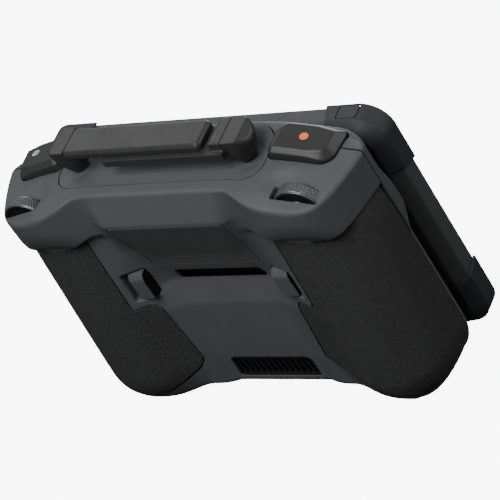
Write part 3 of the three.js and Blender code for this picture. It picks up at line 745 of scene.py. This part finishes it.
# ---------------------------------------------------------------- antennas
def antenna_hub(x, d, z, turret_top):
    """Stadium head over a cone that narrows to the tray, notched for the other arm."""
    head = rmax(rect(x, d, 28, 54.4, 30.9, 47.1, 7.2), 0.74 * (x - 50.4) + 0.67 * (z - HUB_TOP), 1.5)
    cone = 0.86 * (np.hypot(x - HUB_X, d - PIVOT_DEPTH) - 9.4) - 0.51 * (z - 154.2)
    body = rmax(rmax(head, z - HUB_TOP, 0.35), cone, 4)
    body = np.maximum(body, 144.8 - z)
    return cut(body, np.maximum(x - 42.5, turret_top - z), 0.2)


def upper_bar(x, d, z):
    outline = rect(x, d, -31, 70, 31, 47, 2.6)
    plan = rmax(outline, x - 42.35, 0.15)
    edge = 0.8 * (outline + 1.1) + 0.6 * (z - ANTENNA_TOP)
    return rmax(rmax(plan, between(z, 157.3, ANTENNA_TOP), 0.3), edge, 0.25)


def lower_bar(x, d, z):
    """The left antenna's arm, written for its mirror image on the right."""
    plan = rmax(rect(x, d, -23, 70, 31.6, 49.2, 2.4), x - 42.2, 0.2)
    arm = rmax(plan, between(z, 153.2, 156.8), 0.35)
    inner = 35.5 - x
    step = rmax(rmax(rmax(inner, between(d, 31, 47), 1.2), x - 42.2, 0.2), z - ANTENNA_TOP, 0.6)
    step = rmax(step, 0.6 * inner + 0.8 * (z - 160.3), 0.8)
    return rmin(arm, np.maximum(step, 153.6 - z), 1.2)


shape = surface(lambda x, d, z: antenna_hub(x, d, z, UPPER_TURRET), (33, 28, 143), (56, 50, 163), 0.36)
make("antenna_hub_cap_right", shape, antenna_plastic, "antenna_right", ["antenna_hub_right"])
make("antenna_arm_right", surface(upper_bar, (-33, 29, 155.6), (44, 49, 162.6), 0.4),
     antenna_plastic, "antenna_right", ["antenna_bar_right"])
shape = surface(lambda x, d, z: antenna_hub(x, d, z, LOWER_TURRET), (33, 28, 143), (56, 50, 163), 0.36)
make("antenna_hub_cap_left", mirrored(*shape), antenna_plastic, "antenna_left", ["antenna_hub_left"])
shape = surface(lower_bar, (-25, 29, 151.6), (44, 51, 162.6), 0.4)
make("antenna_arm_left", mirrored(*shape), antenna_plastic, "antenna_left", ["antenna_bar_left"])


# ---------------------------------------------------------------- folding display
def slab(x, d, z, half, bottom, top, corner, side, back, front):
    """Rounded slab with a 45 degree bevel towards its back."""
    face = rect(x, z, -half, half, bottom, top, corner)
    bevel = 0.707 * (face + d - side)
    body = rmax(rmax(face, bevel, 0.35), d - back, 0.6)
    return rmax(body, front - d, 0.6)


def screen_case(x, d, z):
    body = slab(x, d, z, half=90.5, bottom=1.1, top=132.4, corner=12.3, side=9.5, back=15, front=0.8)
    body = cut(body, np.maximum(rect(x, z, -87.5, 87.5, 6, 127.5, 6.5), d - 5), 0.3)
    cavity = np.maximum(rect(x, z, -84, 84, 9.5, 124, 4), d - 12.3)
    cavity = np.maximum(cavity, -np.maximum(disc(x, z, 0, SWIVEL_HEIGHT, 25.5), 7.6 - d))
    body = cut(body, cavity)
    return cut(body, np.maximum(disc(x, z, 0, SWIVEL_HEIGHT, 23), 10 - d), 0.6)


def corner_bumper(x, d, z):
    """Lower right bumper; the other three are its mirror images."""
    outer = slab(x, d, z, half=91.8, bottom=0, top=DISPLAY_TOP, corner=13, side=9.9, back=15.9, front=0)
    outer = rmax(rmax(outer, 65 - x + 0.28 * (d - 8), 0.8), z - 32 + 0.28 * (d - 8), 0.8)
    inner = slab(x, d, z, half=90.75, bottom=0.85, top=132.65, corner=12.3, side=9.6, back=15.2,
                 front=-5)
    outer = np.maximum(outer, -inner)
    return cut(outer, np.maximum(rect(x, z, -87.6, 87.6, 5.9, 127.6, 7), d - 5))


make("screen_case", surface(screen_case, (-93, -2, 0), (93, 18, 133), 0.9, symmetric=True),
     deck_plastic, "display_unit", ["screen_housing"])


def upper_bumper(x, d, z):
    return corner_bumper(x, d, DISPLAY_TOP - z)


def ported_bumper(x, d, z):
    """Upper bumper with the opening that the port cover closes."""
    port = np.maximum(rect(x, d, 70.3, 81.0, 0.8, 8.9, 1.2), 131.3 - z)
    return cut(upper_bumper(x, d, z), port)


lower = surface(corner_bumper, (62, -2, -2), (94, 18, 36), 0.55)
make("bumper_lower_right", lower, bumper_rubber, "display_unit", ["bumper_bottom_right"])
make("bumper_lower_left", mirrored(*lower), bumper_rubber, "display_unit", ["bumper_bottom_left"])
make("bumper_upper_right", surface(upper_bumper, (62, -2, 98), (94, 18, 136), 0.55),
     bumper_rubber, "display_unit", ["bumper_top_right"])
make("bumper_upper_left", mirrored(*surface(ported_bumper, (62, -2, 98), (94, 18, 136), 0.55)),
     bumper_rubber, "display_unit", ["bumper_top_left"])


def flap(x, d, z):
    return rmax(rect(x, d, 70.75, 80.55, 1.25, 8.45, 1.0), between(z, 131.6, DISPLAY_TOP), 0.2)


shape = surface(flap, (69, 0, 130), (82, 10, 135), 0.3)
make("port_flap_cover", mirrored(*shape), bumper_rubber, "port_flap", ["port_cover"])


# ---------------------------------------------------------------- finish of the carried-over CAD nodes
CARRIED = {
    "intake_mesh": dark_plastic, "hinge_bracket": aluminium, "fold_hinge_pin": steel,
    "main_board": board_green, "battery_pack": battery_blue, "heat_sink": black_anodised,
    "fan_housing": dark_plastic, "fan_rotor": dark_plastic, "usb_socket": steel,
    "gimbal_housing": dark_plastic, "gimbal_ring": aluminium, "stick_dome": dark_plastic,
    "stick": dial_metal, "dial_axle": steel, "antenna_pivot": steel, "power_button": button_plastic,
    "return_home_button": button_plastic, "five_way_button": button_plastic,
    "mode_slider": button_plastic, "fold_arm": aluminium, "tilt_hinge_pin": steel,
    "swivel_plate": aluminium, "screen_glass": display_glass,
    "display_panel": display_glass, "screen_board": board_green,
}
for node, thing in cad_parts.items():
    if thing.hide_render:
        continue
    finish = CARRIED.get(node) or CARRIED[node.removesuffix("_left").removesuffix("_right")]
    thing.data.materials.clear()
    thing.data.materials.append(finish)


# ---------------------------------------------------------------- floor, light and camera
def lamp(name, place, aim, size, power):
    data = bpy.data.lights.new(name, "AREA")
    data.shape = "DISK"
    data.size = size
    data.energy = power
    light = bpy.data.objects.new(name, data)
    bpy.context.scene.collection.objects.link(light)
    light.location = place
    light.rotation_mode = "QUATERNION"
    light.rotation_quaternion = (Vector(aim) - Vector(place)).to_track_quat("-Z", "Y")


FLOOR_REACH = 6.0
floor_mesh = bpy.data.meshes.new("floor")
corners = [(x * FLOOR_REACH, y * FLOOR_REACH, 0) for x, y in ((-1, -1), (1, -1), (1, 1), (-1, 1))]
floor_mesh.from_pydata(corners, [], [(0, 1, 2, 3)])
floor = bpy.data.objects.new("floor", floor_mesh)
bpy.context.scene.collection.objects.link(floor)
floor.location.z = -0.0004
floor_finish = Nodes("pale_floor", Emission_Color=(1, 1, 1, 1), Emission_Strength=8.0)
floor_finish.set("Base Color", floor_finish.blend(floor_finish.noise(3, 2), grey(0.86, 0), grey(0.88, 0)))
floor_finish.set("Roughness", floor_finish.mapped(floor_finish.noise(8, 2), 0.3, 0.7, 0.75, 0.85))
floor_mesh.materials.append(floor_finish.material)
floor.visible_diffuse = False
floor.visible_glossy = False

lamp("key", (-0.05, 0.42, 0.84), aim=(0, 0, 0.09), size=0.55, power=9.5)
lamp("sheen", (0.62, -0.62, 0.72), aim=(0, 0, 0.12), size=0.6, power=1.5)
lamp("side", (-1.0, -0.62, 0.42), aim=(0, 0, 0.06), size=0.6, power=5)
lamp("front", (0.5, -1.4, 0.16), aim=(0, 0, 0.07), size=1.1, power=13)
world = bpy.data.worlds.new("studio")
bpy.context.scene.world = world
world.use_nodes = True
sky = world.node_tree
direction = sky.nodes.new("ShaderNodeTexCoord")
height = sky.nodes.new("ShaderNodeSeparateXYZ")
softness = sky.nodes.new("ShaderNodeMapRange")
sky.links.new(direction.outputs["Generated"], height.inputs["Vector"])
sky.links.new(height.outputs["Z"], softness.inputs["Value"])
for key, value in (("From Min", -0.35), ("From Max", 0.6), ("To Min", 0.05), ("To Max", 0.32)):
    softness.inputs[key].default_value = value
sky.links.new(softness.outputs["Result"], sky.nodes["Background"].inputs["Strength"])
sky.nodes["Background"].inputs["Color"].default_value = (1, 1, 1, 1)

camera_data = bpy.data.cameras.new("camera")
camera_data.lens = 175.4
camera_data.sensor_width = 36
camera = bpy.data.objects.new("camera", camera_data)
bpy.context.scene.collection.objects.link(camera)
# the camera's own axes, as directions in the frame
right, up = Vector((-0.820, -0.359, -0.447)), Vector((-0.027, -0.755, 0.655))
back = Vector((-0.572, 0.549, 0.609))
turn = Matrix((right.normalized(), up.normalized(), back.normalized())).transposed()
camera.rotation_mode = "QUATERNION"
camera.rotation_quaternion = turn.to_quaternion()
camera.location = (-0.6338, 0.5985, 0.7456)
camera_data.clip_start, camera_data.clip_end = 0.05, 50
bpy.context.scene.camera = camera

bpy.context.view_layer.update()
